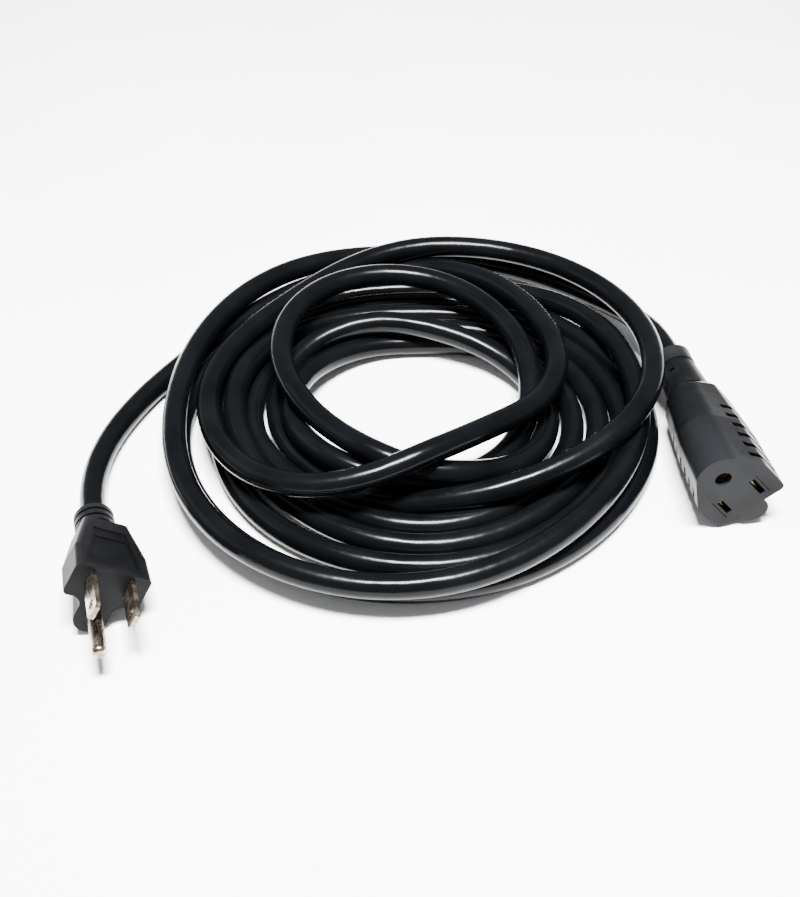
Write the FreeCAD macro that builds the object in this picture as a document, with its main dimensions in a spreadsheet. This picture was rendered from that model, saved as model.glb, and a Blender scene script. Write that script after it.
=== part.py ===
"""Three-conductor extension cord: moulded plug, round jacketed cord, moulded connector.

Frame: +X to the right, +Y away from the two moulded ends' faces, +Z up, floor at z = 0.
The origin is on the floor, midway between the plug and the connector.
Each moulded end is built in its own frame: face at z = 0, mating direction +Z,
blade line along X, and then laid on the floor by one placement.
"""
import FreeCAD, Part
import math
import os
import Sketcher

V = FreeCAD.Vector

doc = FreeCAD.newDocument("extension_cord")

# ---------------------------------------------------------------- driving dimensions, mm
DIMENSIONS = {
    # how far one cut or pad runs into the next
    "overlap": 1.0,
    # cord, three 16 AWG cores in a round jacket
    "cord_diameter": 8.6,
    "core_diameter": 2.8,
    "strand_diameter": 1.5,
    "core_pitch_radius": 1.62,
    "cord_lift": 0.05,
    # coil of the cord on the floor
    "coil_outer_radius": 89.5,
    "coil_inner_radius": 37.0,
    "coil_height": 24.0,
    "coil_edge_radius": 8.0,
    "coil_foot_radius": 1.0,
    "coil_centre_x": -2.3,
    "coil_centre_y": 47.3,
    # standard grounded 15 A mating interface
    "blade_offset": 6.35,
    "ground_offset": 11.9,
    "blade_thickness": 1.5,
    "blade_width": 6.35,
    "blade_length": 15.9,
    "blade_hole_diameter": 3.0,
    "blade_hole_from_tip": 3.8,
    "blade_tip_radius": 1.6,
    "blade_tail": 9.5,
    "ground_pin_diameter": 4.75,
    "ground_pin_length": 19.2,
    "ground_pin_nose": 1.5,
    "ground_shank_diameter": 4.2,
    "ground_shank_end": 0.5,
    "crimp_diameter": 3.4,
    "crimp_length": 4.5,
    "crimp_clearance": 0.3,
    # plug moulding
    "plug_axis_y": -4.0,
    "plug_corner": 1.6,
    "plug_face_half": 12.3,
    "plug_face_top": 4.8,
    "plug_face_bottom": -7.6,
    "plug_face_scallop": 3.5,
    "plug_face_lobe": 5.4,
    "plug_face_lobe_bottom": -20.0,
    "plug_belly_z": -11.0,
    "plug_belly_half": 11.9,
    "plug_belly_top": 4.8,
    "plug_belly_bottom": -7.9,
    "plug_belly_scallop": 3.0,
    "plug_belly_lobe": 5.2,
    "plug_belly_lobe_bottom": -18.2,
    "plug_back_z": -27.0,
    "plug_back_half": 7.6,
    "plug_back_top": 4.4,
    "plug_back_bottom": -8.2,
    "plug_back_scallop": 1.2,
    "plug_back_lobe": 3.6,
    "plug_back_lobe_bottom": -12.8,
    "plug_length": 39.0,
    "plug_neck_diameter": 11.4,
    "plug_ring_diameter": 13.2,
    "plug_ring_width": 2.1,
    "plug_ring_pitch": 3.2,
    "plug_ring_count": 4,
    "plug_notch_width": 2.6,
    "plug_notch_length": 1.1,
    "plug_notch_depth": 1.2,
    "notch_cut": 3.0,
    "plug_lead": 16.0,
    "panel_floor_y": 4.2,
    "panel_step_y": 3.8,
    "panel_cut": 3.0,
    "panel_front_z": -4.0,
    "panel_step_z": -17.5,
    "panel_back_z": -21.5,
    "panel_front_half": 8.4,
    "panel_back_half": 5.4,
    "plug_wall": 2.0,
    "plug_bridge_half": 9.4,
    "plug_bridge_top": 3.4,
    "plug_bridge_bottom": -5.4,
    "plug_bridge_scallop": 1.4,
    "plug_bridge_lobe": 4.2,
    "plug_bridge_lobe_bottom": -16.6,
    "bridge_depth": 7.0,
    "plug_chamber_depth": 19.0,
    "plug_chamber_half": 8.6,
    "plug_chamber_waist": -5.0,
    "chamber_corner": 3.2,
    "core_straight": 2.0,
    "core_bared": 0.5,
    "trim_box": 60.0,
    # connector moulding
    "socket_axis_y": 2.5,
    "socket_corner": 2.0,
    "socket_shoulder_corner": 2.6,
    "socket_face_half": 13.3,
    "socket_face_bottom": -7.5,
    "socket_face_side_y": 5.6,
    "socket_face_dome": 9.1,
    "socket_face_dome_y": 11.9,
    "socket_belly_z": -24.0,
    "socket_belly_half": 12.6,
    "socket_belly_bottom": -7.0,
    "socket_belly_side_y": 5.2,
    "socket_belly_dome": 8.7,
    "socket_belly_dome_y": 10.4,
    "socket_hip_z": -46.0,
    "socket_hip_half": 10.6,
    "socket_hip_bottom": -6.4,
    "socket_hip_side_y": 4.9,
    "socket_hip_dome": 7.8,
    "socket_hip_dome_y": 7.2,
    "socket_back_z": -50.5,
    "socket_back_half": 8.2,
    "socket_back_bottom": -5.2,
    "socket_back_side_y": 4.4,
    "socket_back_dome": 6.2,
    "socket_back_dome_y": 4.6,
    "socket_tongue": 5.0,
    "socket_tongue_y": -9.0,
    "socket_tongue_end": 2.5,
    "socket_tongue_end_y": -4.5,
    "socket_tongue_z": -40.0,
    "socket_length": 73.5,
    "socket_neck_diameter": 13.6,
    "socket_collar_diameter": 14.2,
    "socket_flare_diameter": 16.4,
    "socket_collar_length": 7.0,
    "socket_notch_width": 2.0,
    "socket_notch_length": 1.6,
    "socket_notch_depth": 1.2,
    "socket_notch_z": -60.0,
    "socket_lead": 14.0,
    "grip_rib_pitch": 5.3,
    "grip_rib_width": 2.0,
    "grip_rib_depth": 2.3,
    "grip_rib_height": 16.5,
    "grip_rib_first_z": -6.0,
    "grip_rib_low": -4.5,
    "grip_rib_cut": 6.0,
    "grip_rib_count": 6,
    "slot_width": 2.1,
    "neutral_slot_height": 7.9,
    "line_slot_height": 6.6,
    "face_line_width": 0.35,
    "face_line_height": 10.0,
    "face_line_gap": 0.9,
    "face_line_depth": 0.4,
    "ground_hole_diameter": 5.6,
    "socket_wall": 2.0,
    "carrier_half": 10.4,
    "carrier_bottom": -5.4,
    "carrier_top": 16.6,
    "carrier_corner": 3.0,
    "carrier_shoulder_y": 3.1,
    "carrier_neck": 2.5,
    "carrier_depth": 19.0,
    "contact_well_width": 4.4,
    "contact_well_height": 8.2,
    "contact_well_depth": 17.0,
    "ground_well_diameter": 7.0,
    "contact_leaf": 0.5,
    "contact_gap": 1.3,
    "contact_height": 6.0,
    "contact_length": 14.0,
    "contact_setback": 1.0,
    "ground_sleeve_outer": 6.2,
    "ground_sleeve_inner": 4.9,
    "ground_sleeve_slit": 1.0,
    "socket_chamber_depth": 18.0,
    "socket_chamber_half": 8.6,
    "socket_chamber_bottom": -4.6,
    "socket_chamber_top": 14.6,
    # where the two ends lie
    "plug_x": -98.1,
    "plug_y": -46.0,
    "plug_z": 18.22,
    "plug_yaw": 17.5,
    "plug_tilt": 10.0,
    "plug_roll": -34.5,
    "socket_x": 105.0,
    "socket_y": -6.0,
    "socket_z": 14.01,
    "socket_yaw": 7.0,
    "socket_tilt": 3.0,
    "socket_roll": 40.5,
}

sheet = doc.addObject("Spreadsheet::Sheet", "dims")
for row, (alias, number) in enumerate(DIMENSIONS.items(), start=1):
    sheet.set(f"A{row}", alias)
    sheet.set(f"B{row}", str(number))
    sheet.setAlias(f"B{row}", alias)
doc.recompute()


def size(alias):
    """The number that the sheet holds for this alias."""
    return float(sheet.get(alias))


# ---------------------------------------------------------------- sketch helpers
def new_body(label):
    body = doc.addObject("PartDesign::Body", label)
    body.Label = label
    return body


def origin_item(body, role):
    return next(item for item in body.Origin.OriginFeatures if item.Role == role)


def new_sketch(body, name, height, role="XY_Plane"):
    """A sketch on one of the body's own planes, lifted along its normal by an expression."""
    sketch = body.newObject("Sketcher::SketchObject", name)
    sketch.AttachmentSupport = [(origin_item(body, role), "")]
    sketch.MapMode = "FlatFace"
    sketch.setExpression("AttachmentOffset.Base.z", height)
    return sketch


def bind(sketch, name, constraint, expression):
    """Add a dimension constraint and drive it from the sheet."""
    index = sketch.addConstraint(constraint)
    sketch.renameConstraint(index, name)
    sketch.setExpression("Constraints." + name, expression)


def draw_circle(sketch, name, x, y, diameter):
    """A circle; x or y may be None for a centre on that axis."""
    middle = V(sketch.evalExpression(x or "0"), sketch.evalExpression(y or "0"), 0)
    radius = sketch.evalExpression(diameter) / 2
    item = sketch.addGeometry(Part.Circle(middle, V(0, 0, 1), radius))
    if x:
        bind(sketch, name + "_x", Sketcher.Constraint("DistanceX", -1, 1, item, 3, middle.x), x)
    else:
        sketch.addConstraint(Sketcher.Constraint("PointOnObject", item, 3, -2))
    if y:
        bind(sketch, name + "_y", Sketcher.Constraint("DistanceY", -1, 1, item, 3, middle.y), y)
    else:
        sketch.addConstraint(Sketcher.Constraint("PointOnObject", item, 3, -1))
    bind(sketch, name + "_diameter", Sketcher.Constraint("Diameter", item, 2 * radius), diameter)


def draw_rectangle(sketch, name, left, bottom, width, height):
    """An upright rectangle from its lower left corner; every value is an expression."""
    x, y = sketch.evalExpression(left), sketch.evalExpression(bottom)
    w, h = sketch.evalExpression(width), sketch.evalExpression(height)
    corners = [V(x, y, 0), V(x + w, y, 0), V(x + w, y + h, 0), V(x, y + h, 0)]
    sides = [
        sketch.addGeometry(Part.LineSegment(corners[i], corners[(i + 1) % 4]))
        for i in range(4)
    ]
    for i in range(4):
        sketch.addConstraint(Sketcher.Constraint("Coincident", sides[i], 2, sides[(i + 1) % 4], 1))
        kind = "Horizontal" if i % 2 == 0 else "Vertical"
        sketch.addConstraint(Sketcher.Constraint(kind, sides[i]))
    first = sides[0]
    bind(sketch, name + "_left", Sketcher.Constraint("DistanceX", -1, 1, first, 1, x), left)
    bind(sketch, name + "_bottom", Sketcher.Constraint("DistanceY", -1, 1, first, 1, y), bottom)
    bind(sketch, name + "_width", Sketcher.Constraint("DistanceX", first, 1, first, 2, w), width)
    rise = Sketcher.Constraint("DistanceY", sides[1], 1, sides[1], 2, h)
    bind(sketch, name + "_height", rise, height)


def draw_rounded(sketch, name, corners):
    """A closed outline of tangent arcs and lines, counterclockwise.

    Each corner is (x, y, radius, side): the arc's centre and radius as expressions, and
    side +1 for an outside corner or -1 for a hollow one.
    """
    centres = [V(sketch.evalExpression(c[0]), sketch.evalExpression(c[1]), 0) for c in corners]
    radii = [sketch.evalExpression(c[2]) for c in corners]
    count = len(corners)
    leaving, arriving = [None] * count, [None] * count
    for i in range(count):
        j = (i + 1) % count
        span = centres[j] - centres[i]
        signed_i, signed_j = corners[i][3] * radii[i], corners[j][3] * radii[j]
        heading = math.atan2(span.y, span.x) + math.acos((signed_j - signed_i) / span.Length)
        normal = V(math.cos(heading), math.sin(heading), 0)
        leaving[i] = centres[i] - normal * signed_i
        arriving[j] = centres[j] - normal * signed_j
    arcs, lines = [], []
    for i in range(count):
        start, stop = arriving[i], leaving[i]
        if corners[i][3] < 0:
            start, stop = stop, start
        circle = Part.Circle(centres[i], V(0, 0, 1), radii[i])
        first = math.atan2(start.y - centres[i].y, start.x - centres[i].x)
        last = math.atan2(stop.y - centres[i].y, stop.x - centres[i].x)
        if last < first:
            last += 2 * math.pi
        arcs.append(sketch.addGeometry(Part.ArcOfCircle(circle, first, last)))
    for i in range(count):
        j = (i + 1) % count
        lines.append(sketch.addGeometry(Part.LineSegment(leaving[i], arriving[j])))
    for i in range(count):
        j = (i + 1) % count
        out_end = 2 if corners[i][3] > 0 else 1
        in_end = 1 if corners[j][3] > 0 else 2
        sketch.addConstraint(Sketcher.Constraint("Tangent", arcs[i], out_end, lines[i], 1))
        sketch.addConstraint(Sketcher.Constraint("Tangent", lines[i], 2, arcs[j], in_end))
    for i, (x, y, radius, side) in enumerate(corners):
        tag, arc = f"{name}_{i}", arcs[i]
        across = Sketcher.Constraint("DistanceX", -1, 1, arc, 3, centres[i].x)
        if abs(centres[i].x) > 1e-9:
            bind(sketch, tag + "_x", across, x)
        else:
            sketch.addConstraint(Sketcher.Constraint("PointOnObject", arc, 3, -2))
        bind(sketch, tag + "_y", Sketcher.Constraint("DistanceY", -1, 1, arc, 3, centres[i].y), y)
        bind(sketch, tag + "_r", Sketcher.Constraint("Radius", arc, radii[i]), radius)


# ---------------------------------------------------------------- feature helpers
def pad(body, sketch, length, reverse=False):
    feature = body.newObject("PartDesign::Pad", sketch.Name + "_pad")
    feature.Profile = sketch
    feature.Reversed = reverse
    feature.setExpression("Length", length)
    return feature


def pocket(body, sketch, length, reverse=False):
    """A pocket into -Z of the sketch; it must take material away."""
    doc.recompute()
    before = body.Shape.Volume
    feature = body.newObject("PartDesign::Pocket", sketch.Name + "_pocket")
    feature.Profile = sketch
    feature.Reversed = reverse
    feature.setExpression("Length", length)
    doc.recompute()
    if body.Shape.Volume > before - 0.05:
        raise RuntimeError(f"{feature.Name} removed nothing")
    return feature


def loft(body, kind, sections):
    feature = body.newObject("PartDesign::" + kind, sections[0].Name + "_loft")
    feature.Profile = sections[0]
    feature.Sections = sections[1:]
    feature.Ruled = False
    return feature


def fillet(body, name, radius, wanted):
    """Round the edges of the body so far whose bounding boxes are wanted."""
    doc.recompute()
    base = body.Tip
    edges = [
        f"Edge{index}" for index, edge in enumerate(body.Shape.Edges, start=1)
        if wanted(edge.BoundBox)
    ]
    feature = body.newObject("PartDesign::Fillet", name)
    feature.Base = (base, edges)
    feature.setExpression("Radius", radius)
    doc.recompute()


def rounded_box(sketch, name, half, bottom, top, corner):
    """A rounded rectangle, symmetric about the Y axis."""
    draw_rounded(sketch, name, [
        (f"-({half}) + {corner}", f"{bottom} + {corner}", corner, 1),
        (f"{half} - {corner}", f"{bottom} + {corner}", corner, 1),
        (f"{half} - {corner}", f"{top} - {corner}", corner, 1),
        (f"-({half}) + {corner}", f"{top} - {corner}", corner, 1),
    ])


# ---------------------------------------------------------------- tubes: runs and arcs
ARC_SHARE = 0.45
VOLUME_TOLERANCE = 0.01


def rounded_path(points):
    """Straight runs joined by tangent arcs, with the radii and the length of the path."""
    edges, radii, length = [], [], 0.0
    start = points[0]
    for before, corner, after in zip(points, points[1:], points[2:]):
        back, ahead = (before - corner), (after - corner)
        shorter = min(back.Length, ahead.Length)
        back.normalize()
        ahead.normalize()
        turn = math.pi - back.getAngle(ahead)
        radius = ARC_SHARE * shorter / math.tan(turn / 2)
        cut = ARC_SHARE * shorter
        enter, leave = corner + back * cut, corner + ahead * cut
        middle = (back + ahead).normalize()
        nearest = corner + middle * (radius / math.cos(turn / 2) - radius)
        edges.append(Part.LineSegment(start, enter).toShape())
        edges.append(Part.Arc(enter, nearest, leave).toShape())
        radii.append(radius)
        start = leave
    edges.append(Part.LineSegment(start, points[-1]).toShape())
    for edge in edges:
        length += edge.Length
    return Part.Wire(edges), radii, length


def tube_shape(points, diameter, label):
    """A round solid along the path, checked against its section times its length."""
    wire, radii, length = rounded_path(points)
    heading = (points[1] - points[0]).normalize()
    ring = Part.Wire(Part.makeCircle(diameter / 2, points[0], heading))
    solid = wire.makePipeShell([ring], True, False)
    expected = math.pi * diameter ** 2 / 4 * length
    if abs(solid.Volume / expected - 1) > VOLUME_TOLERANCE:
        raise RuntimeError(f"{label}: volume {solid.Volume:.0f}, expected {expected:.0f}")
    tightest = ", ".join(f"{radius:.0f}" for radius in radii)
    print(f"{label}: length {length:.1f} mm, radii {tightest} mm")
    return solid


def add_shape(label, shape):
    """A piece whose shape comes from Part's own functions."""
    piece = doc.addObject("Part::Feature", label)
    piece.Label = label
    piece.Shape = shape
    return piece


# ---------------------------------------------------------------- placements of the two ends
def end_placement(name):
    """Face forwards (-Y), then roll about the mating axis, tilt the face up, and yaw."""
    turn = FreeCAD.Rotation(V(0, 0, 1), size(name + "_yaw"))
    lean = FreeCAD.Rotation(V(1, 0, 0), 90 - size(name + "_tilt"))
    roll = FreeCAD.Rotation(V(0, 0, 1), size(name + "_roll"))
    place = V(size(name + "_x"), size(name + "_y"), size(name + "_z"))
    return FreeCAD.Placement(place, turn.multiply(lean).multiply(roll))


PLUG = end_placement("plug")
SOCKET = end_placement("socket")
PIECES = []


def keep(piece, placement=None):
    """Register a finished sub-part, laid where its end lies."""
    if placement is not None:
        piece.Placement = placement
    PIECES.append(piece)
    return piece


def hollow_chamber(body, end, name, start, half, bottom, top):
    """The space behind the inner block where the three cores gather into the round cord."""
    wide = new_sketch(body, f"{end}_{name}_chamber", start)
    rounded_box(wide, "wide", half, bottom, top, "dims.chamber_corner")
    finish = f"{start} - dims.{end}_chamber_depth"
    tight = new_sketch(body, f"{end}_{name}_chamber_end", finish)
    bore, axis = "dims.cord_diameter / 2", f"dims.{end}_axis_y"
    rounded_box(tight, "tight", bore, f"{axis} - {bore}", f"{axis} + {bore}", "dims.chamber_corner")
    loft(body, "SubtractiveLoft", [wide, tight])


# ---------------------------------------------------------------- plug moulding
def plug_outline(sketch, name, part):
    """Grip outline: a flat wide top, hollow flanks and a rounded lobe under the ground pin."""
    half, top = f"dims.plug_{part}_half", f"dims.plug_{part}_top"
    low, hollow = f"dims.plug_{part}_bottom", f"dims.plug_{part}_scallop"
    lobe, base = f"dims.plug_{part}_lobe", f"dims.plug_{part}_lobe_bottom"
    corner = "dims.plug_corner"
    draw_rounded(sketch, name, [
        ("0", f"{base} + {lobe}", lobe, 1),
        (f"{lobe} + {hollow}", f"{low} - {hollow}", hollow, -1),
        (f"{half} - {corner}", f"{low} + {corner}", corner, 1),
        (f"{half} - {corner}", f"{top} - {corner}", corner, 1),
        (f"-({half}) + {corner}", f"{top} - {corner}", corner, 1),
        (f"-({half}) + {corner}", f"{low} + {corner}", corner, 1),
        (f"-({lobe}) - {hollow}", f"{low} - {hollow}", hollow, -1),
    ])


def plug_grip_panel(body):
    """The recessed thumb panel with its step, cut into the flat top."""
    for name, floor, back in (
        ("panel", "dims.panel_floor_y", "dims.panel_back_z"),
        ("panel_step", "dims.panel_step_y", "dims.panel_step_z"),
    ):
        sketch = new_sketch(body, name, floor, "XZ_Plane")
        sketch.setExpression("AttachmentOffset.Base.z", f"-{floor}")
        front, rear = sketch.evalExpression("dims.panel_front_z"), sketch.evalExpression(back)
        wide, narrow = size("panel_front_half"), size("panel_back_half")
        corners = [V(-wide, front, 0), V(-narrow, rear, 0), V(narrow, rear, 0), V(wide, front, 0)]
        sides = [
            sketch.addGeometry(Part.LineSegment(corners[i], corners[(i + 1) % 4]))
            for i in range(4)
        ]
        for i in range(4):
            ends = (sides[i], 2, sides[(i + 1) % 4], 1)
            sketch.addConstraint(Sketcher.Constraint("Coincident", *ends))
        for i, (x, y) in enumerate((
            ("-dims.panel_front_half", "dims.panel_front_z"), ("-dims.panel_back_half", back),
            ("dims.panel_back_half", back), ("dims.panel_front_half", "dims.panel_front_z"),
        )):
            across = Sketcher.Constraint("DistanceX", -1, 1, sides[i], 1, corners[i].x)
            along = Sketcher.Constraint("DistanceY", -1, 1, sides[i], 1, corners[i].y)
            bind(sketch, f"{name}_{i}_x", across, x)
            bind(sketch, f"{name}_{i}_y", along, y)
        pocket(body, sketch, "dims.panel_cut")


def make_plug_body():
    body = new_body("plug_body")
    sections = []
    for part, height in (
        ("face", "0"), ("belly", "dims.plug_belly_z"), ("back", "dims.plug_back_z"),
    ):
        sketch = new_sketch(body, "plug_" + part, height)
        plug_outline(sketch, part, part)
        sections.append(sketch)
    shell = loft(body, "AdditiveLoft", sections)
    shell.Ruled = True
    neck = new_sketch(body, "plug_neck", "-dims.plug_length")
    draw_circle(neck, "neck", None, "dims.plug_axis_y", "dims.plug_neck_diameter")
    pad(body, neck, "dims.plug_length + dims.plug_back_z + dims.overlap")
    ring = new_sketch(body, "plug_ring", "-dims.plug_length")
    draw_circle(ring, "ring", None, "dims.plug_axis_y", "dims.plug_ring_diameter")
    first = pad(body, ring, "dims.plug_ring_width")
    rings = body.newObject("PartDesign::LinearPattern", "plug_rings")
    rings.Originals = [first]
    rings.Direction = (origin_item(body, "Z_Axis"), [""])
    rings.setExpression("Length", "(dims.plug_ring_count - 1) * dims.plug_ring_pitch")
    rings.setExpression("Occurrences", "dims.plug_ring_count")
    body.Tip = rings
    doc.recompute()
    plug_grip_panel(body)
    notch = new_sketch(body, "plug_notch", "dims.plug_back_z")
    draw_rectangle(
        notch, "notch", "-dims.plug_notch_width / 2",
        "dims.plug_axis_y + dims.plug_ring_diameter / 2 - dims.plug_notch_depth",
        "dims.plug_notch_width", "dims.notch_cut",
    )
    pocket(body, notch, "dims.plug_notch_length")
    blades = new_sketch(body, "plug_blade_openings", "0")
    for name, side in (("line", "-"), ("neutral", "")):
        draw_rectangle(
            blades, name, f"{side}dims.blade_offset - dims.blade_thickness / 2",
            "-dims.blade_width / 2", "dims.blade_thickness", "dims.blade_width",
        )
    draw_circle(blades, "ground", None, "-dims.ground_offset", "dims.ground_shank_diameter")
    pocket(body, blades, "dims.plug_wall + dims.overlap")
    seat = new_sketch(body, "plug_bridge_seat", "-dims.plug_wall")
    plug_outline(seat, "seat", "bridge")
    pocket(body, seat, "dims.bridge_depth")
    behind = "-dims.plug_wall - dims.bridge_depth"
    hollow_chamber(
        body, "plug", "blades", behind, "dims.plug_chamber_half", "dims.plug_chamber_waist",
        "dims.plug_bridge_top",
    )
    hollow_chamber(
        body, "plug", "ground", behind, "dims.plug_bridge_lobe",
        "dims.plug_bridge_lobe_bottom + dims.overlap", "dims.plug_chamber_waist + dims.overlap",
    )
    channel = new_sketch(body, "plug_channel", behind + " - dims.plug_chamber_depth / 2")
    draw_circle(channel, "channel", None, "dims.plug_axis_y", "dims.cord_diameter")
    pocket(body, channel, "dims.plug_length")
    return keep(body, PLUG)


def make_plug_bridge():
    """The hard block that holds the three prongs square to each other."""
    body = new_body("plug_bridge")
    block = new_sketch(body, "bridge_block", "-dims.plug_wall")
    plug_outline(block, "block", "bridge")
    pad(body, block, "dims.bridge_depth", True)
    holes = new_sketch(body, "bridge_holes", "-dims.plug_wall")
    for name, side in (("line", "-"), ("neutral", "")):
        draw_rectangle(
            holes, name, f"{side}dims.blade_offset - dims.blade_thickness / 2",
            "-dims.blade_width / 2", "dims.blade_thickness", "dims.blade_width",
        )
    draw_circle(holes, "ground", None, "-dims.ground_offset", "dims.ground_shank_diameter")
    pocket(body, holes, "dims.bridge_depth")
    return keep(body, PLUG)


def crimp_barrel(body, name, x, y, start):
    """The tube at a terminal's rear that is crimped on the bare strands."""
    barrel = new_sketch(body, name + "_barrel", start)
    draw_circle(barrel, "outer", x, y, "dims.crimp_diameter")
    draw_circle(barrel, "inner", x, y, "dims.strand_diameter")
    pad(body, barrel, "dims.crimp_length", True)


def make_blade(label, side):
    """A flat blade with a rounded tip, a latch hole and a crimp barrel behind the bridge."""
    body = new_body(label)
    x = f"{side}dims.blade_offset"
    strip = new_sketch(body, label + "_strip", "-dims.blade_tail")
    draw_rectangle(
        strip, "strip", f"{x} - dims.blade_thickness / 2", "-dims.blade_width / 2",
        "dims.blade_thickness", "dims.blade_width",
    )
    pad(body, strip, "dims.blade_tail + dims.blade_length")
    hole = new_sketch(body, label + "_hole", f"{x} - dims.blade_thickness", "YZ_Plane")
    centre = "dims.blade_length - dims.blade_hole_from_tip"
    draw_circle(hole, "hole", None, centre, "dims.blade_hole_diameter")
    pocket(body, hole, "2 * dims.blade_thickness", True)
    tip_z = size("blade_length")
    fillet(
        body, label + "_tip", "dims.blade_tip_radius",
        lambda box: box.ZMin > tip_z - 0.01 and box.YLength < 0.01,
    )
    crimp_barrel(body, label, x, None, "-dims.blade_tail")
    return keep(body, PLUG)


def make_ground_pin():
    """The round ground pin with a domed nose and its crimp barrel."""
    body = new_body("plug_ground_pin")
    shank = new_sketch(body, "ground_shank", "-dims.blade_tail")
    draw_circle(shank, "shank", None, "-dims.ground_offset", "dims.ground_shank_diameter")
    pad(body, shank, "dims.blade_tail + dims.ground_shank_end")
    pin = new_sketch(body, "ground_pin", "dims.ground_shank_end")
    draw_circle(pin, "pin", None, "-dims.ground_offset", "dims.ground_pin_diameter")
    pad(body, pin, "dims.ground_pin_length - dims.ground_shank_end")
    tip_z = size("ground_pin_length")
    fillet(body, "ground_nose", "dims.ground_pin_nose", lambda box: box.ZMin > tip_z - 0.01)
    crimp_barrel(body, "ground", None, "-dims.ground_offset", "-dims.blade_tail")
    return keep(body, PLUG)


# ---------------------------------------------------------------- connector moulding
def socket_outline(sketch, name, part):
    """Flat bottom, straight sides, slanted shoulders and a dome over the ground contact."""
    half, low = f"dims.socket_{part}_half", f"dims.socket_{part}_bottom"
    side_y = f"dims.socket_{part}_side_y"
    corner, shoulder = "dims.socket_corner", "dims.socket_shoulder_corner"
    draw_rounded(sketch, name, [
        (f"-({half}) + {corner}", f"{low} + {corner}", corner, 1),
        (f"{half} - {corner}", f"{low} + {corner}", corner, 1),
        (f"{half} - {shoulder}", side_y, shoulder, 1),
        ("0", f"dims.socket_{part}_dome_y", f"dims.socket_{part}_dome", 1),
        (f"-({half}) + {shoulder}", side_y, shoulder, 1),
    ])


def grip_ribs():
    """Wedge-shaped grip grooves down both flanks, following the flanks' taper."""
    face, belly, hip = size("socket_face_half"), size("socket_belly_half"), size("socket_hip_half")
    belly_z, hip_z = size("socket_belly_z"), size("socket_hip_z")
    cutters = []
    for index in range(int(size("grip_rib_count"))):
        z = size("grip_rib_first_z") - index * size("grip_rib_pitch")
        if z > belly_z:
            half = face + (belly - face) * z / belly_z
        else:
            half = belly + (hip - belly) * (z - belly_z) / (hip_z - belly_z)
        for side in (-1, 1):
            box = doc.addObject("Part::Box", "grip_cutter")
            box.setExpression("Length", "dims.grip_rib_cut")
            box.setExpression("Width", "dims.grip_rib_height")
            box.setExpression("Height", "dims.grip_rib_width")
            inner = side * (half - size("grip_rib_depth"))
            left = inner if side > 0 else inner - size("grip_rib_cut")
            box.Placement.Base = V(left, size("grip_rib_low"), z)
            cutters.append(box)
    return cutters


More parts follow.
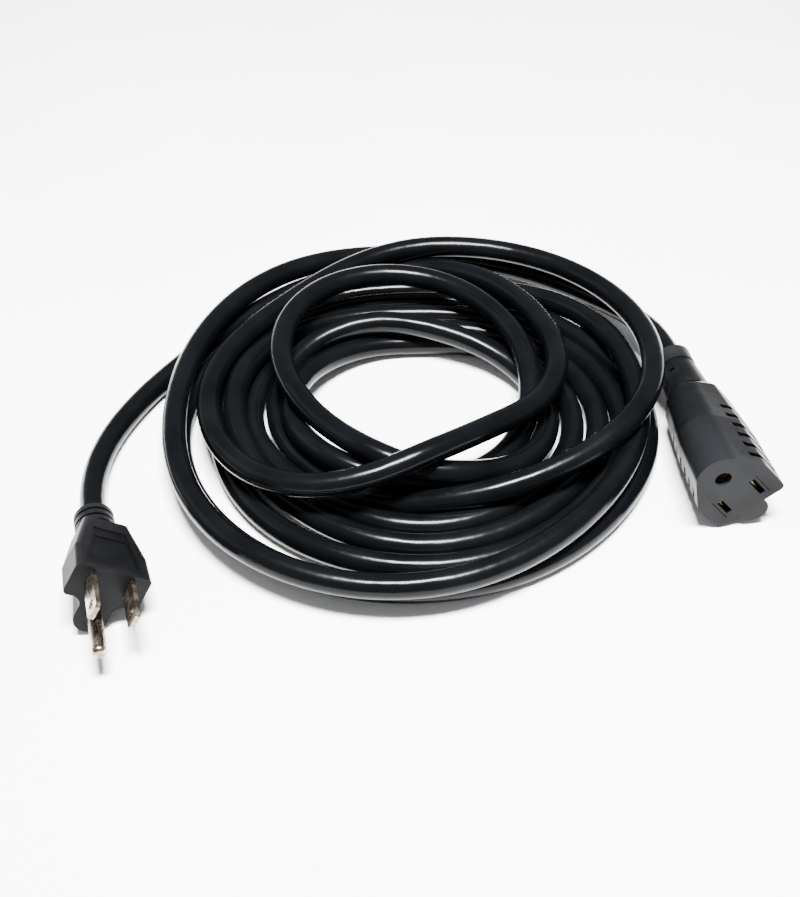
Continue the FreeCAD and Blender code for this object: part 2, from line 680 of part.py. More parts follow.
def make_socket_body():
    body = new_body("socket_moulding")
    sections = []
    for part, height in (
        ("face", "0"), ("belly", "dims.socket_belly_z"),
        ("hip", "dims.socket_hip_z"), ("back", "dims.socket_back_z"),
    ):
        sketch = new_sketch(body, "socket_" + part, height)
        socket_outline(sketch, part, part)
        sections.append(sketch)
    shell = loft(body, "AdditiveLoft", sections)
    shell.Ruled = True
    tongue = new_sketch(body, "socket_tongue_face", "0")
    draw_circle(tongue, "tongue", None, "dims.socket_tongue_y", "2 * dims.socket_tongue")
    fade = new_sketch(body, "socket_tongue_fade", "dims.socket_tongue_z")
    draw_circle(fade, "fade", None, "dims.socket_tongue_end_y", "2 * dims.socket_tongue_end")
    loft(body, "AdditiveLoft", [tongue, fade])
    neck = new_sketch(body, "socket_neck", "-dims.socket_length")
    draw_circle(neck, "neck", None, "dims.socket_axis_y", "dims.socket_neck_diameter")
    pad(body, neck, "dims.socket_length + dims.socket_back_z + dims.overlap")
    flare = new_sketch(body, "socket_flare", "dims.socket_back_z")
    draw_circle(flare, "flare", None, "dims.socket_axis_y", "dims.socket_flare_diameter")
    waist = new_sketch(body, "socket_waist", "dims.socket_collar_length - dims.socket_length")
    draw_circle(waist, "waist", None, "dims.socket_axis_y", "dims.socket_neck_diameter")
    loft(body, "AdditiveLoft", [flare, waist])
    collar = new_sketch(body, "socket_collar", "-dims.socket_length")
    draw_circle(collar, "collar", None, "dims.socket_axis_y", "dims.socket_collar_diameter")
    pad(body, collar, "dims.socket_collar_length")
    notch = new_sketch(body, "socket_notch", "dims.socket_notch_z")
    draw_rectangle(
        notch, "notch", "-dims.socket_notch_width / 2",
        "dims.socket_axis_y + dims.socket_neck_diameter / 2 - dims.socket_notch_depth",
        "dims.socket_notch_width", "dims.notch_cut",
    )
    pocket(body, notch, "dims.socket_notch_length")
    openings = new_sketch(body, "socket_openings", "0")
    for name, side, height in (
        ("line", "-", "dims.line_slot_height"), ("neutral", "", "dims.neutral_slot_height"),
    ):
        draw_rectangle(
            openings, name, f"{side}dims.blade_offset - dims.slot_width / 2",
            f"-{height} / 2", "dims.slot_width", height,
        )
    draw_circle(openings, "ground", None, "dims.ground_offset", "dims.ground_hole_diameter")
    pocket(body, openings, "dims.socket_wall + dims.overlap")
    marks = new_sketch(body, "socket_face_lines", "0")
    line_left = "-dims.blade_offset - dims.slot_width / 2 - dims.face_line_gap"
    for name, left in (
        ("line", f"{line_left} - dims.face_line_width"),
        ("neutral", "dims.blade_offset + dims.slot_width / 2 + dims.face_line_gap"),
    ):
        draw_rectangle(
            marks, name, left, "-dims.face_line_height / 2", "dims.face_line_width",
            "dims.face_line_height",
        )
    pocket(body, marks, "dims.face_line_depth")
    seat = new_sketch(body, "socket_carrier_seat", "-dims.socket_wall")
    carrier_outline(seat)
    pocket(body, seat, "dims.carrier_depth")
    behind = "-dims.socket_wall - dims.carrier_depth"
    hollow_chamber(
        body, "socket", "cores", behind, "dims.socket_chamber_half",
        "dims.socket_chamber_bottom", "dims.socket_chamber_top",
    )
    channel = new_sketch(body, "socket_channel", behind + " - dims.socket_chamber_depth / 2")
    draw_circle(channel, "channel", None, "dims.socket_axis_y", "dims.cord_diameter")
    pocket(body, channel, "dims.socket_length")
    cutters = doc.addObject("Part::Compound", "grip_cutters")
    cutters.Links = grip_ribs()
    ribbed = doc.addObject("Part::Cut", "socket_body")
    ribbed.Label = "socket_body"
    ribbed.Base = body
    ribbed.Tool = cutters
    return keep(ribbed, SOCKET)


def carrier_outline(sketch):
    """A block that narrows to the dome: wide at the two slots, narrow at the ground."""
    half, corner = "dims.carrier_half", "dims.carrier_corner"
    low, top = "dims.carrier_bottom", "dims.carrier_top"
    draw_rounded(sketch, "carrier", [
        (f"-{half} + {corner}", f"{low} + {corner}", corner, 1),
        (f"{half} - {corner}", f"{low} + {corner}", corner, 1),
        (f"{half} - {corner}", "dims.carrier_shoulder_y", corner, 1),
        ("dims.carrier_neck", f"{top} - {corner}", corner, 1),
        ("-dims.carrier_neck", f"{top} - {corner}", corner, 1),
        (f"-{half} + {corner}", "dims.carrier_shoulder_y", corner, 1),
    ])


def make_socket_carrier():
    """The hard inner block with one well for each contact."""
    body = new_body("socket_carrier")
    block = new_sketch(body, "carrier_block", "-dims.socket_wall")
    carrier_outline(block)
    pad(body, block, "dims.carrier_depth", True)
    wells = new_sketch(body, "carrier_wells", "-dims.socket_wall")
    for name, side in (("line", "-"), ("neutral", "")):
        draw_rectangle(
            wells, name, f"{side}dims.blade_offset - dims.contact_well_width / 2",
            "-dims.contact_well_height / 2", "dims.contact_well_width",
            "dims.contact_well_height",
        )
    draw_circle(wells, "ground", None, "dims.ground_offset", "dims.ground_well_diameter")
    pocket(body, wells, "dims.contact_well_depth")
    passages = new_sketch(body, "carrier_passages", "-dims.socket_wall")
    for name, x, y in (
        ("line", "-dims.blade_offset", None), ("neutral", "dims.blade_offset", None),
        ("ground", None, "dims.ground_offset"),
    ):
        draw_circle(passages, name, x, y, "dims.crimp_diameter + dims.crimp_clearance")
    pocket(body, passages, "dims.carrier_depth")
    return keep(body, SOCKET)


def make_slot_contact(label, side):
    """Two spring leaves that close on a blade, joined by a base with a crimp barrel."""
    body = new_body(label)
    x = f"{side}dims.blade_offset"
    back = "-dims.socket_wall - dims.contact_setback - dims.contact_length"
    base = new_sketch(body, label + "_base", back)
    draw_rectangle(
        base, "base", f"{x} - dims.contact_gap / 2 - dims.contact_leaf",
        "-dims.contact_height / 2", "dims.contact_gap + 2 * dims.contact_leaf",
        "dims.contact_height",
    )
    pad(body, base, "dims.contact_leaf")
    leaves = new_sketch(body, label + "_leaves", back)
    for name, left in (
        ("inner", f"{x} - dims.contact_gap / 2 - dims.contact_leaf"),
        ("outer", f"{x} + dims.contact_gap / 2"),
    ):
        draw_rectangle(
            leaves, name, left, "-dims.contact_height / 2", "dims.contact_leaf",
            "dims.contact_height",
        )
    pad(body, leaves, "dims.contact_length")
    crimp_barrel(body, label, x, None, back)
    return keep(body, SOCKET)


def make_ground_contact():
    """A slit brass sleeve behind the ground opening, with its crimp barrel."""
    body = new_body("socket_ground_contact")
    back = "-dims.socket_wall - dims.contact_setback - dims.contact_length"
    sleeve = new_sketch(body, "ground_sleeve", back)
    draw_circle(sleeve, "outer", None, "dims.ground_offset", "dims.ground_sleeve_outer")
    draw_circle(sleeve, "inner", None, "dims.ground_offset", "dims.ground_sleeve_inner")
    pad(body, sleeve, "dims.contact_length")
    floor = new_sketch(body, "ground_floor", back)
    draw_circle(floor, "floor", None, "dims.ground_offset", "dims.ground_sleeve_outer")
    pad(body, floor, "dims.contact_leaf")
    slit = new_sketch(body, "ground_slit", "-dims.socket_wall - dims.contact_setback")
    draw_rectangle(
        slit, "slit", "-dims.ground_sleeve_slit / 2", "dims.ground_offset",
        "dims.ground_sleeve_slit", "dims.ground_sleeve_outer",
    )
    pocket(body, slit, "dims.contact_length - 2 * dims.contact_leaf")
    crimp_barrel(body, "socket_ground", None, "dims.ground_offset", back)
    return keep(body, SOCKET)


# ---------------------------------------------------------------- conductors inside the ends
def make_conductors(end, placement, axis_y, terminals, terminal_z, fan_z, cord_z):
    """Copper strands and insulation for each core, and the jacket's last stretch."""
    pitch = size("core_pitch_radius")
    bend_z = terminal_z - size("crimp_length") - size("core_straight")
    strip_z = terminal_z - size("crimp_length") - size("core_bared")
    jacket = Part.makeCylinder(
        size("cord_diameter") / 2, fan_z - cord_z, V(0, axis_y, cord_z), V(0, 0, 1)
    )
    trim = size("trim_box")
    bared = Part.makeBox(trim, trim, trim, V(-trim / 2, -trim / 2, strip_z))
    for index, (name, x, y) in enumerate(terminals):
        angle = math.radians(90 + 120 * index)
        core_x = pitch * math.cos(angle)
        core_y = axis_y + pitch * math.sin(angle)
        points = [
            V(x, y, terminal_z),
            V(x, y, bend_z),
            V(core_x, core_y, fan_z + size("core_straight")),
            V(core_x, core_y, cord_z),
        ]
        label = f"{end}_{name}"
        strands = tube_shape(points, size("strand_diameter"), label + "_strands")
        cover = tube_shape(points, size("core_diameter"), label + "_insulation")
        jacket = jacket.cut(cover)
        keep(add_shape(label + "_strands", strands), placement)
        keep(add_shape(label + "_insulation", cover.cut(strands).cut(bared)), placement)
    keep(add_shape(end + "_jacket_end", jacket), placement)


# ---------------------------------------------------------------- free cord
# The cord lies on the floor between the coil and each moulded end.
def cord_routes():
    lay = size("cord_diameter") / 2 + size("cord_lift")
    plug_exit = PLUG.multVec(V(0, size("plug_axis_y"), -size("plug_length")))
    plug_lead = PLUG.multVec(V(0, size("plug_axis_y"), -size("plug_length") - size("plug_lead")))
    socket_exit = SOCKET.multVec(V(0, size("socket_axis_y"), -size("socket_length")))
    socket_lead = SOCKET.multVec(V(0, size("socket_axis_y"), -size("socket_length") - size("socket_lead")))
    plug_tail = [
        plug_exit, plug_lead, V(-117.8, 31.3, lay), V(-108.3, 51.3, lay), V(-93.8, 70.3, lay),
        V(-76.3, 86.3, lay),
    ]
    socket_tail = [
        socket_exit, socket_lead, V(85.7, 98.8, 7.6), V(72.7, 114.3, lay), V(54.7, 129.3, lay),
        V(31.7, 140.3, lay), V(5.7, 143.8, lay), V(-19.3, 137.8, lay), V(-38.3, 127.3, lay),
    ]
    for name, route in (("plug", plug_tail), ("socket", socket_tail)):
        print(name, "tail:", [tuple(round(value, 2) for value in point) for point in route])
    return plug_tail, socket_tail


def make_coil():
    """The outer shape of the coiled cord, as one ring that lies on the floor."""
    body = new_body("cord_coil")
    profile = new_sketch(body, "coil_profile", "0", "XZ_Plane")
    inner, outer = "dims.coil_inner_radius", "dims.coil_outer_radius"
    edge, tall = "dims.coil_edge_radius", "dims.coil_height"
    foot = "dims.coil_foot_radius"
    draw_rounded(profile, "coil", [
        (f"{inner} + {foot}", foot, foot, 1),
        (f"{outer} - {foot}", foot, foot, 1),
        (f"{outer} - {edge}", f"{tall} - {edge}", edge, 1),
        (f"{inner} + {edge}", f"{tall} - {edge}", edge, 1),
    ])
    ring = body.newObject("PartDesign::Revolution", "coil_ring")
    ring.Profile = profile
    ring.ReferenceAxis = (profile, ["V_Axis"])
    ring.Angle = 360
    where = FreeCAD.Placement(V(size("coil_centre_x"), size("coil_centre_y"), 0), FreeCAD.Rotation())
    return keep(body, where)


def make_cord():
    coil = make_coil()
    doc.recompute()
    plug_tail, socket_tail = cord_routes()
    for label, route in (("cord_plug_tail", plug_tail), ("cord_socket_tail", socket_tail)):
        whole = tube_shape(route, size("cord_diameter"), label)
        outside = whole.cut(coil.Shape)
        piece = max(outside.Solids, key=lambda solid: solid.Volume)
        keep(add_shape(label, piece))


# ---------------------------------------------------------------- assembly
make_plug_body()
make_plug_bridge()
make_blade("plug_line_blade", "-")
make_blade("plug_neutral_blade", "")
make_ground_pin()
make_socket_body()
make_socket_carrier()
make_slot_contact("socket_line_contact", "-")
make_slot_contact("socket_neutral_contact", "")
make_ground_contact()
OFFSET, GROUND = size("blade_offset"), size("ground_offset")
make_conductors(
    "plug", PLUG, size("plug_axis_y"),
    [("neutral", OFFSET, 0), ("line", -OFFSET, 0), ("ground", 0, -GROUND)],
    -size("blade_tail"), -size("plug_wall") - size("bridge_depth") - size("plug_chamber_depth"),
    -size("plug_length"),
)
make_conductors(
    "socket", SOCKET, size("socket_axis_y"),
    [("ground", 0, GROUND), ("line", -OFFSET, 0), ("neutral", OFFSET, 0)],
    -size("socket_wall") - size("contact_setback") - size("contact_length"),
    -size("socket_wall") - size("carrier_depth") - size("socket_chamber_depth"),
    -size("socket_length"),
)
make_cord()
doc.recompute()

# ---------------------------------------------------------------- checks and files
for item in doc.Objects:
    if "Invalid" in item.State or "Error" in item.State:
        raise RuntimeError(f"{item.Label}: {item.State}")
ends = FreeCAD.BoundBox()
for piece in PIECES:
    shape = piece.Shape
    if shape.isNull() or not shape.isValid() or not shape.Solids:
        raise RuntimeError(f"{piece.Label} has no valid solid")
    if not piece.Label.startswith("cord_"):
        ends.add(shape.BoundBox)
    box = shape.BoundBox
    print(
        f"{piece.Label:26s} solids {len(shape.Solids)} volume {shape.Volume:9.1f}"
        f" z {box.ZMin:7.2f} {box.ZMax:7.2f}"
    )
print(
    f"ends: x {ends.XMin:.1f} {ends.XMax:.1f}, y {ends.YMin:.1f} {ends.YMax:.1f},"
    f" z {ends.ZMin:.2f} {ends.ZMax:.1f}; middle {ends.Center.x:.2f} {ends.Center.y:.2f}"
)
os.makedirs("parts", exist_ok=True)
for piece in PIECES:
    piece.Shape.exportStep(f"parts/{piece.Label}.step")
print(f"{len(PIECES)} pieces written")
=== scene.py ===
import math

import bpy
import numpy as np
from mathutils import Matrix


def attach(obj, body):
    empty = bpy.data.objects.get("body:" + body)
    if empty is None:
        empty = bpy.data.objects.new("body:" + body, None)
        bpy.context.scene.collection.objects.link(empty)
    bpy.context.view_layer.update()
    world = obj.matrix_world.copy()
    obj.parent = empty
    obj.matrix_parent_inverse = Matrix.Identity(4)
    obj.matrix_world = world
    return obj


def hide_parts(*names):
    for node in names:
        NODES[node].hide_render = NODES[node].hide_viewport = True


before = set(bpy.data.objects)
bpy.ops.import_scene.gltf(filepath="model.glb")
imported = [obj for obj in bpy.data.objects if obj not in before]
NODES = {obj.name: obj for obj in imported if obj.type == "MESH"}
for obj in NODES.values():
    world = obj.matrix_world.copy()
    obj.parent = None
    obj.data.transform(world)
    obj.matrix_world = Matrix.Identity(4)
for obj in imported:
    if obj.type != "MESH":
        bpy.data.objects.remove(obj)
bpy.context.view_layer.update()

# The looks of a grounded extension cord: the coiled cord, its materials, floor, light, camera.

# ---------------------------------------------------------------- sizes, metres
CORD_DIAMETER = 0.0086
CORD_RADIUS = CORD_DIAMETER / 2
CORD_LIFT = 0.00005
LAY = CORD_RADIUS + CORD_LIFT
COIL_CENTRE = (-0.0023, 0.0473)
STATIONS_PER_TURN = 8
POINTS_PER_TURN = 40
FIRST_ANGLE = math.radians(135)
STATION_ANGLE = math.radians(360 / STATIONS_PER_TURN)
MILLIMETRES_PER_METRE = 1000

# the cord's free stretches, from the plug's neck and from the connector's neck to the coil
PLUG_ROUTE = [
    (-0.11164, -0.0106, 0.0082), (-0.11638, 0.00443, 0.00542), (-0.1178, 0.0313, 0.00435),
    (-0.1083, 0.0513, 0.00435), (-0.0938, 0.0703, 0.00435),
]
SOCKET_ROUTE = [
    (0.09443, 0.06675, 0.01206), (0.09273, 0.08063, 0.01133), (0.0857, 0.0988, 0.0076),
    (0.0727, 0.1143, 0.00435), (0.0547, 0.1293, 0.00435), (0.0317, 0.1403, 0.00435),
]

# The coil runs clockwise. Each turn is its reach from the centre in millimetres and its
# height in cord diameters above the floor, at the back, back right, right, front right,
# front, front left, left and back left.
LEAD_IN = (88, 0.0)
TURNS = [
    ((81.5, 62.5, 50, 36.5, 44, 71, 77, 71.5), (0.0, 1.0, 1.35, 1.5, 1.4, 1.0, 1.0, 1.0)),
    ((86, 94.7, 86, 62, 49, 47, 52.5, 48), (0.9, 1.0, 1.2, 0.8, 0.0, 0.0, 0.1, 0.6)),
    ((36, 41, 50, 50, 46.5, 40, 48, 63), (0.8, 0.2, 0.0, 0.2, 0.85, 0.6, 0.6, 1.5)),
    ((61, 48.5, 42, 41.3, 40.5, 48, 53, 47.5), (1.6, 1.3, 0.5, 0.0, 0.0, 0.5, 0.6, 0.3)),
    ((38.5, 48, 58.2, 58.3, 57.8, 55.5, 63, 53.5), (0.0, 0.0, 0.0, 0.0, 0.0, 0.0, 0.0, 0.0)),
    ((46.8, 56.7, 67, 66.6, 66.6, 64.2, 67.5, 62), (0.0, 0.0, 0.0, 0.0, 0.0, 0.0, 0.8, 0.1)),
    ((55.5, 65.4, 75.7, 74.9, 75, 76, 72.5, 70.5), (0.0, 0.0, 0.0, 0.0, 0.0, 0.0, 0.0, 0.0)),
    ((64.2, 73, 84.2, 82.2, 85, 89.5, 88.5, 79.3), (0.0, 0.0, 0.0, 0.0, 0.0, 0.0, 0.0, 0.0)),
    ((73, 80, 80.8, 81, 90, 94.5, 88, 91), (0.0, 0.3, 1.0, 1.0, 0.95, 0.95, 1.0, 0.9)),
]
LEAD_OUT = [(97, 0.0)]

# ---------------------------------------------------------------- the settled cord
# two runs are pushed apart until their middles are this far from each other
SPARE = 0.00015
CLEARANCE = CORD_DIAMETER + SPARE

# The cord sinks for the first three quarters of the rounds and only relaxes after that. SINK
# is in metres a round; HOME_PULL is the share of the way back to its chosen place.
SETTLE_ROUNDS = 240
SINKING_ROUNDS = SETTLE_ROUNDS * 3 // 4
SINK = 0.000012
HOME_PULL = 0.08

# shares of the stiffening and of the easing in a round, while sinking and after it
BEND_EARLY = 0.9
BEND_LATE = 0.6
EASE_EARLY = 0.4
EASE_LATE = 0.1

# points this close along the cord don't push each other; bends under this radius are opened
NEIGHBOURS = 5
BEND_LIMIT = 0.042
TINY = 1e-9

CURVE_ORDER = 3
CURVE_STEPS = 4
BEVEL_STEPS = 7


def through(values):
    """A smooth line through the stations, with the same number of points in every turn."""
    values = np.array(values, float)
    count = len(values)
    place = np.arange(0, count - 1 + TINY, STATIONS_PER_TURN / POINTS_PER_TURN)
    padded = np.concatenate(
        [[2 * values[0] - values[1]], values, [2 * values[-1] - values[-2]]]
    )
    index = np.minimum(place.astype(int), count - 2)
    f = place - index
    a, b, c, d = (padded[index + k] for k in range(4))
    line = 2 * b + (c - a) * f + (2 * a - 5 * b + 4 * c - d) * f**2
    return (line + (3 * b - a - 3 * c + d) * f**3) / 2, place


def wound_coil():
    """Every turn of the coil, one after the other, before the cord has settled."""
    stations = [LEAD_IN]
    for reaches, heights in TURNS:
        stations += list(zip(reaches, heights))
    stations += LEAD_OUT
    reach, place = through([station[0] / MILLIMETRES_PER_METRE for station in stations])
    height, _ = through([station[1] for station in stations])
    angle = FIRST_ANGLE - STATION_ANGLE * place
    return np.column_stack([
        COIL_CENTRE[0] + reach * np.cos(angle),
        COIL_CENTRE[1] + reach * np.sin(angle),
        LAY + CORD_DIAMETER * np.maximum(height, 0),
    ])


def stiffen(points, share):
    """Ease every point towards the smooth bend of its four neighbours."""
    bend = 6 * points[2:-2] - 4 * (points[1:-3] + points[3:-1]) + points[:-4] + points[4:]
    points[2:-2] -= bend * share / 16


def unbend(points):
    """Open every bend that is tighter than the cord takes."""
    inner, behind, ahead = points[2:-2], points[:-4], points[4:]
    sag = inner - (behind + ahead) / 2
    depth = np.maximum(np.linalg.norm(sag, axis=1), TINY)
    allowed = np.linalg.norm(ahead - behind, axis=1) ** 2 / (8 * BEND_LIMIT)
    excess = np.maximum(1 - allowed / depth, 0)[:, None] * sag
    inner -= excess / 2
    behind += excess / 4
    ahead += excess / 4


def push_apart(points):
    """Push apart every point and segment that lie closer than the cord's thickness."""
    count = len(points)
    start, along = points[:-1], np.diff(points, axis=0)
    gap = points[:, None] - start[None]
    share = (gap * along[None]).sum(2) / (along * along).sum(1)[None]
    share = np.clip(share, 0, 1)
    gap = gap - share[..., None] * along[None]
    distance = np.linalg.norm(gap, axis=2)
    apart = np.arange(count)[:, None] - np.arange(count - 1)[None]
    far = (apart < -NEIGHBOURS) | (apart > NEIGHBOURS + 1)
    one, other = np.nonzero((distance < CLEARANCE) & far)
    part, span = share[one, other], np.maximum(distance[one, other], TINY)
    push = gap[one, other] * ((CLEARANCE - span) / span / 2)[:, None]
    move, weight = np.zeros_like(points), np.zeros(count)
    for index, amount in ((one, np.ones(len(one))), (other, part - 1), (other + 1, -part)):
        np.add.at(move, index, push * amount[:, None])
        np.add.at(weight, index, np.abs(amount))
    points += move / np.maximum(weight, 1)[:, None]


def ease(points, home, share):
    """Spread every push along the cord, so that it gives way in long humps and not in dents."""
    shift = points - home
    shift[1:-1] += (shift[:-2] + shift[2:] - 2 * shift[1:-1]) * share / 2
    points[:] = home + shift


def settle(points):
    """Let the cord sink on itself and on the floor, stiff enough to lie in long low humps."""
    home, count = points.copy(), len(points)
    held = np.array([0, 1, count - 2, count - 1])
    for step in range(SETTLE_ROUNDS):
        sinking = step < SINKING_ROUNDS
        stiffen(points, BEND_EARLY if sinking else BEND_LATE)
        if sinking:
            points[:, 2] -= SINK
            points[:, :2] += (home[:, :2] - points[:, :2]) * HOME_PULL
        unbend(points)
        push_apart(points)
        ease(points, home, EASE_EARLY if sinking else EASE_LATE)
        points[:, 2] = np.maximum(points[:, 2], LAY)
        points[held] = home[held]
    return points


def make_cord(jacket):
    """The whole cord as one open curve, from the plug's neck to the connector's neck."""
    route = np.concatenate([PLUG_ROUTE, wound_coil(), SOCKET_ROUTE[::-1]])
    route = settle(route)
    curve = bpy.data.curves.new("cord", "CURVE")
    curve.dimensions = "3D"
    spline = curve.splines.new("NURBS")
    spline.points.add(len(route) - 1)
    for point, place in zip(spline.points, route):
        point.co = (*place, 1)
    spline.order_u = CURVE_ORDER
    spline.use_endpoint_u = True
    spline.resolution_u = CURVE_STEPS
    curve.bevel_depth = CORD_RADIUS
    curve.bevel_resolution = BEVEL_STEPS
    curve.use_fill_caps = True
    curve.materials.append(jacket)
    cord = bpy.data.objects.new("cord", curve)
    bpy.context.scene.collection.objects.link(cord)
    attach(cord, "root")
    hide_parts("cord_coil", "cord_plug_tail", "cord_socket_tail")
    length = float(np.linalg.norm(np.diff(route, axis=0), axis=1).sum())
    print(f"cord length {length:.3f} m, highest {route[:, 2].max():.4f} m")
    return cord


# ---------------------------------------------------------------- materials
PVC_IOR = 1.5
JACKET_SHINE = 0.09
MOULDING_SHINE = 0.045
EDGE_BRIGHTENING = 4


def new_material(name):
    """A material, its node tree and its one surface shader."""
    material = bpy.data.materials.new(name)
    material.use_nodes = True
    tree = material.node_tree
    return material, tree, tree.nodes["Principled BSDF"]


def add(tree, kind, **settings):
    """A new node with the given settings."""
    node = tree.nodes.new(kind)
    for key, value in settings.items():
        setattr(node, key, value)
    return node


def noise(tree, scale, detail=4.0, roughness=0.5, stretch=(1, 1, 1)):
    """Noise in object space; scale is in features per metre."""
    place = add(tree, "ShaderNodeTexCoord")
    mapping = add(tree, "ShaderNodeMapping")
    mapping.inputs["Scale"].default_value = stretch
    texture = add(tree, "ShaderNodeTexNoise")
    texture.inputs["Scale"].default_value = scale
    texture.inputs["Detail"].default_value = detail
    texture.inputs["Roughness"].default_value = roughness
    tree.links.new(place.outputs["Object"], mapping.inputs["Vector"])
    tree.links.new(mapping.outputs["Vector"], texture.inputs["Vector"])
    return texture.outputs["Fac"]


def spread(tree, source, low, high, start=0.3, stop=0.7):
    """The source, stretched from start..stop to low..high."""
    node = add(tree, "ShaderNodeMapRange")
    node.inputs["From Min"].default_value = start
    node.inputs["From Max"].default_value = stop
    node.inputs["To Min"].default_value = low
    node.inputs["To Max"].default_value = high
    tree.links.new(source, node.inputs["Value"])
    return node.outputs["Result"]


def tint(tree, source, stops):
    """The source as a colour ramp of (position, colour)."""
    node = add(tree, "ShaderNodeValToRGB")
    ramp = node.color_ramp
    while len(ramp.elements) < len(stops):
        ramp.elements.new(0.5)
    for element, (position, colour) in zip(ramp.elements, stops):
        element.position = position
        element.color = (*colour, 1)
    tree.links.new(source, node.inputs["Fac"])
    return node.outputs["Color"]


def bump(tree, shader, source, strength, distance, under=None):
    """Relief from the source, laid over the relief given as under; distance is in metres."""
    node = add(tree, "ShaderNodeBump")
    node.inputs["Strength"].default_value = strength
    node.inputs["Distance"].default_value = distance
    tree.links.new(source, node.inputs["Height"])
    if under:
        tree.links.new(under, node.inputs["Normal"])
    tree.links.new(node.outputs["Normal"], shader.inputs["Normal"])
    return node.outputs["Normal"]


def make_jacket():
    """Glossy black PVC with a faint haze, slow waviness and a few duller stretches."""
    material, tree, shader = new_material("cord_jacket")
    haze = noise(tree, 60, 3)
    colour = tint(tree, haze, [(0.3, (0.0007, 0.0008, 0.001)), (0.75, (0.0016, 0.0019, 0.0023))])
    tree.links.new(colour, shader.inputs["Base Color"])
    rubbed = noise(tree, 38, 5, 0.6)
    tree.links.new(spread(tree, rubbed, 0.13, 0.26), shader.inputs["Roughness"])
    shader.inputs["IOR"].default_value = PVC_IOR
    shader.inputs["Specular IOR Level"].default_value = JACKET_SHINE
    waves = bump(tree, shader, noise(tree, 90, 2), 0.25, 0.0012)
    bump(tree, shader, noise(tree, 1500, 3), 0.06, 0.0002, waves)
    return material


def make_moulding(name, dark, light, rough):
    """Satin moulded PVC: fine grain, uneven sheen and slightly paler, rubbed edges."""
    material, tree, shader = new_material(name)
    cloud = noise(tree, 120, 4, 0.6)
    base = tint(tree, cloud, [(0.3, dark), (0.75, light)])
    edge = add(tree, "ShaderNodeNewGeometry")
    worn = spread(tree, edge.outputs["Pointiness"], 0.0, 0.35, 0.52, 0.6)
    mix = add(tree, "ShaderNodeMix", data_type="RGBA")
    tree.links.new(worn, mix.inputs["Factor"])
    tree.links.new(base, mix.inputs["A"])
    mix.inputs["B"].default_value = (*(EDGE_BRIGHTENING * part for part in light), 1)
    tree.links.new(mix.outputs["Result"], shader.inputs["Base Color"])
    sheen = noise(tree, 55, 3)
    tree.links.new(spread(tree, sheen, rough - 0.06, rough + 0.08), shader.inputs["Roughness"])
    shader.inputs["IOR"].default_value = PVC_IOR
    shader.inputs["Specular IOR Level"].default_value = MOULDING_SHINE
    grain = bump(tree, shader, noise(tree, 2600, 2), 0.18, 0.00012)
    bump(tree, shader, noise(tree, 240, 3), 0.12, 0.0004, grain)
    return material


def make_metal(name, dark, light, rough, tarnish):
    """Bare metal: drawn grain along its length and cloudy tarnish, in colours kept dark as painted
    dark reflection on the prongs and painted slot shade on the contacts.
    """
    material, tree, shader = new_material(name)
    cloud = noise(tree, 170, 5, 0.65)
    base = tint(tree, cloud, [(0.28, tarnish), (0.48, dark), (0.75, light)])
    tree.links.new(base, shader.inputs["Base Color"])
    shader.inputs["Metallic"].default_value = 1.0
    drawn = noise(tree, 900, 4, 0.6, (3.0, 0.35, 3.0))
    tree.links.new(spread(tree, drawn, rough - 0.07, rough + 0.1), shader.inputs["Roughness"])
    bump(tree, shader, drawn, 0.12, 0.00015)
    return material


def make_plastic(name, dark, light, rough):
    """Core insulation or inner block: plain coloured plastic with cloudy wear and fine grain."""
    material, tree, shader = new_material(name)
    base = tint(tree, noise(tree, 200, 4), [(0.3, dark), (0.7, light)])
    tree.links.new(base, shader.inputs["Base Color"])
    tree.links.new(
        spread(tree, noise(tree, 90, 3), rough - 0.05, rough + 0.08), shader.inputs["Roughness"]
    )
    bump(tree, shader, noise(tree, 1800, 2), 0.12, 0.0002)
    return material


def make_strands():
    """Bunched copper wires: fine ridges that wind along the core."""
    material, tree, shader = new_material("copper_strands")
    base = tint(tree, noise(tree, 300, 4), [(0.3, (0.42, 0.16, 0.08)), (0.7, (0.86, 0.42, 0.25))])
    tree.links.new(base, shader.inputs["Base Color"])
    shader.inputs["Metallic"].default_value = 1.0
    shader.inputs["Roughness"].default_value = 0.3
    place = add(tree, "ShaderNodeTexCoord")
    wires = add(tree, "ShaderNodeTexWave", bands_direction="DIAGONAL")
    wires.inputs["Scale"].default_value = 700
    wires.inputs["Distortion"].default_value = 1.5
    tree.links.new(place.outputs["Object"], wires.inputs["Vector"])
    bump(tree, shader, wires.outputs["Fac"], 0.5, 0.0002)
    return material


def make_floor_material():
    """Seamless white paper with the faintest mottling."""
    material, tree, shader = new_material("floor_paper")
    base = tint(tree, noise(tree, 9, 4), [(0.3, (0.87, 0.865, 0.86)), (0.7, (0.93, 0.93, 0.93))])
    tree.links.new(base, shader.inputs["Base Color"])
    shader.inputs["Roughness"].default_value = 0.85
    bump(tree, shader, noise(tree, 60, 3), 0.08, 0.002)
    return material


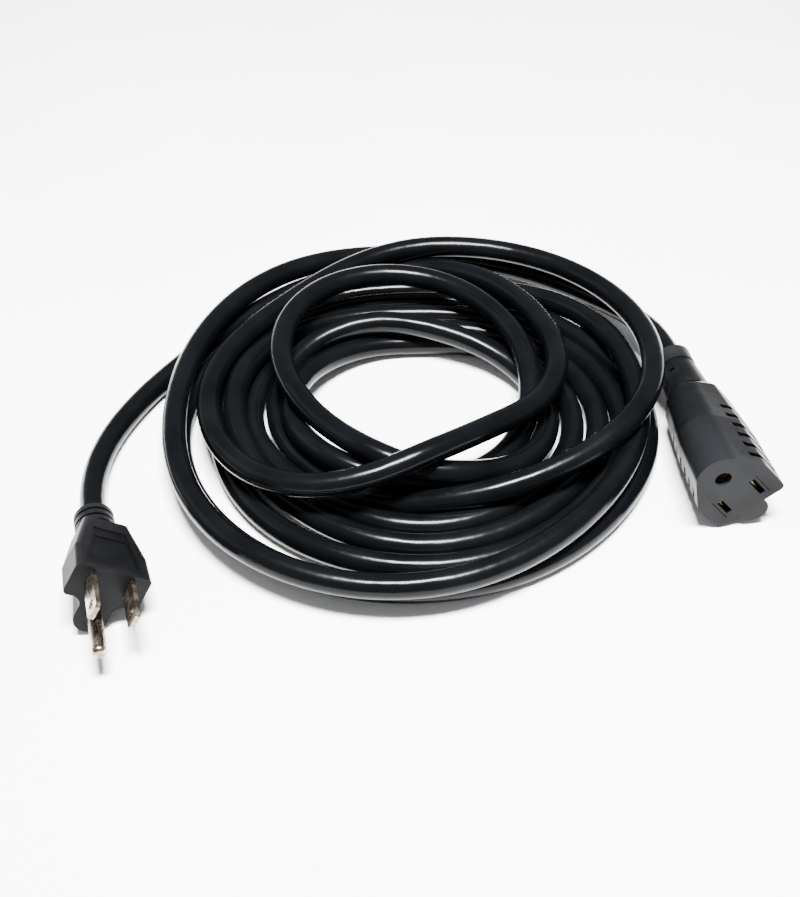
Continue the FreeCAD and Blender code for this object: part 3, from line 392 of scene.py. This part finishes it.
def dress_nodes():
    """Give every carried-over part the material of what it is made of."""
    plug = make_moulding("plug_moulding", (0.0008, 0.00085, 0.001), (0.0022, 0.0023, 0.0026), 0.42)
    socket = make_moulding(
        "connector_moulding", (0.0014, 0.0015, 0.0017), (0.003, 0.0032, 0.0036), 0.38
    )
    # Painted dark reflection: the prongs' brass colours are kept dark to stand in for the dark
    # surroundings the bare metal reflects; the clouds between them are tarnish.
    prong = make_metal(
        "prong_metal", (0.17, 0.14, 0.1), (0.74, 0.61, 0.54), 0.26, (0.06, 0.05, 0.03)
    )
    # Painted shade: the contacts' brass colours are darkened to stand in for the shade inside the
    # deep slots they sit in; the clouds between them are tarnish.
    contact = make_metal(
        "contact_metal", (0.36, 0.25, 0.1), (0.62, 0.48, 0.24), 0.34, (0.16, 0.1, 0.04)
    )
    block = make_plastic("inner_block", (0.03, 0.03, 0.033), (0.06, 0.06, 0.065), 0.5)
    strands = make_strands()
    white = make_plastic("neutral_insulation", (0.68, 0.68, 0.65), (0.84, 0.84, 0.82), 0.42)
    black = make_plastic("line_insulation", (0.012, 0.012, 0.013), (0.03, 0.03, 0.032), 0.4)
    green = make_plastic("ground_insulation", (0.02, 0.20, 0.06), (0.05, 0.34, 0.12), 0.42)
    jacket = make_jacket()
    endings = {
        "plug_body": plug, "socket_body": socket, "_blade": prong, "_pin": prong,
        "_contact": contact, "_bridge": block, "_carrier": block, "_strands": strands,
        "neutral_insulation": white, "line_insulation": black, "ground_insulation": green,
        "_jacket_end": jacket,
    }
    for name, node in NODES.items():
        for ending, material in endings.items():
            if name.endswith(ending):
                node.data.materials.clear()
                node.data.materials.append(material)
    return jacket


# ---------------------------------------------------------------- floor, light, camera
FLOOR_HALF = 6.0
FLOOR_DROP = 0.0002

AIM = (0, 0.03, 0)
SKY_COLOUR = (0.93, 0.96, 1.0)
SKY_STRENGTH = 0.5
KEY_PLACE = (0.02, -0.10, 0.85)
KEY_SIZE = (0.32, 0.16)
KEY_POWER = 86.0
LEFT_PLACE = (-0.9, 0.1, 0.6)
LEFT_SIZE = (0.7, 0.5)
LEFT_POWER = 1.5
LEFT_COLOUR = (0.92, 0.96, 1.0)

LENS = 45.63
SENSOR_WIDTH = 36
CAMERA_PLACE = (-0.0090, -0.2634, 0.2943)
CAMERA_TILT = math.radians(45)


def make_floor():
    """A wide pale sheet, a hair below the object."""
    mesh = bpy.data.meshes.new("floor")
    corners = [
        (x * FLOOR_HALF, y * FLOOR_HALF, 0) for x, y in ((-1, -1), (1, -1), (1, 1), (-1, 1))
    ]
    mesh.from_pydata(corners, [], [(0, 1, 2, 3)])
    mesh.materials.append(make_floor_material())
    floor = bpy.data.objects.new("floor", mesh)
    floor.location.z = -FLOOR_DROP
    bpy.context.scene.collection.objects.link(floor)


def area_light(name, place, size, power, colour=(1, 1, 1)):
    """A soft box that looks at the middle of the object."""
    data = bpy.data.lights.new(name, "AREA")
    data.shape = "RECTANGLE"
    data.size, data.size_y = size
    data.energy = power
    data.color = colour
    light = bpy.data.objects.new(name, data)
    light.location = place
    heading = (light.location - type(light.location)(AIM)).normalized()
    light.rotation_euler = heading.to_track_quat("Z", "Y").to_euler()
    bpy.context.scene.collection.objects.link(light)


def make_light():
    """Even pale surroundings, one strong soft box overhead and a weak one at the left."""
    world = bpy.data.worlds.new("studio")
    world.use_nodes = True
    backdrop = world.node_tree.nodes["Background"]
    backdrop.inputs["Color"].default_value = (*SKY_COLOUR, 1)
    backdrop.inputs["Strength"].default_value = SKY_STRENGTH
    bpy.context.scene.world = world
    area_light("key", KEY_PLACE, KEY_SIZE, KEY_POWER)
    area_light("left", LEFT_PLACE, LEFT_SIZE, LEFT_POWER, LEFT_COLOUR)


def make_camera():
    """The photo's viewpoint: in front of the coil, looking down at 45 degrees."""
    data = bpy.data.cameras.new("camera")
    data.lens = LENS
    data.sensor_width = SENSOR_WIDTH
    camera = bpy.data.objects.new("camera", data)
    camera.location = CAMERA_PLACE
    camera.rotation_euler = (CAMERA_TILT, 0, 0)
    bpy.context.scene.collection.objects.link(camera)
    bpy.context.scene.camera = camera


# ---------------------------------------------------------------- the scene
make_camera()
jacket = dress_nodes()
cord = make_cord(jacket)
make_floor()
make_light()
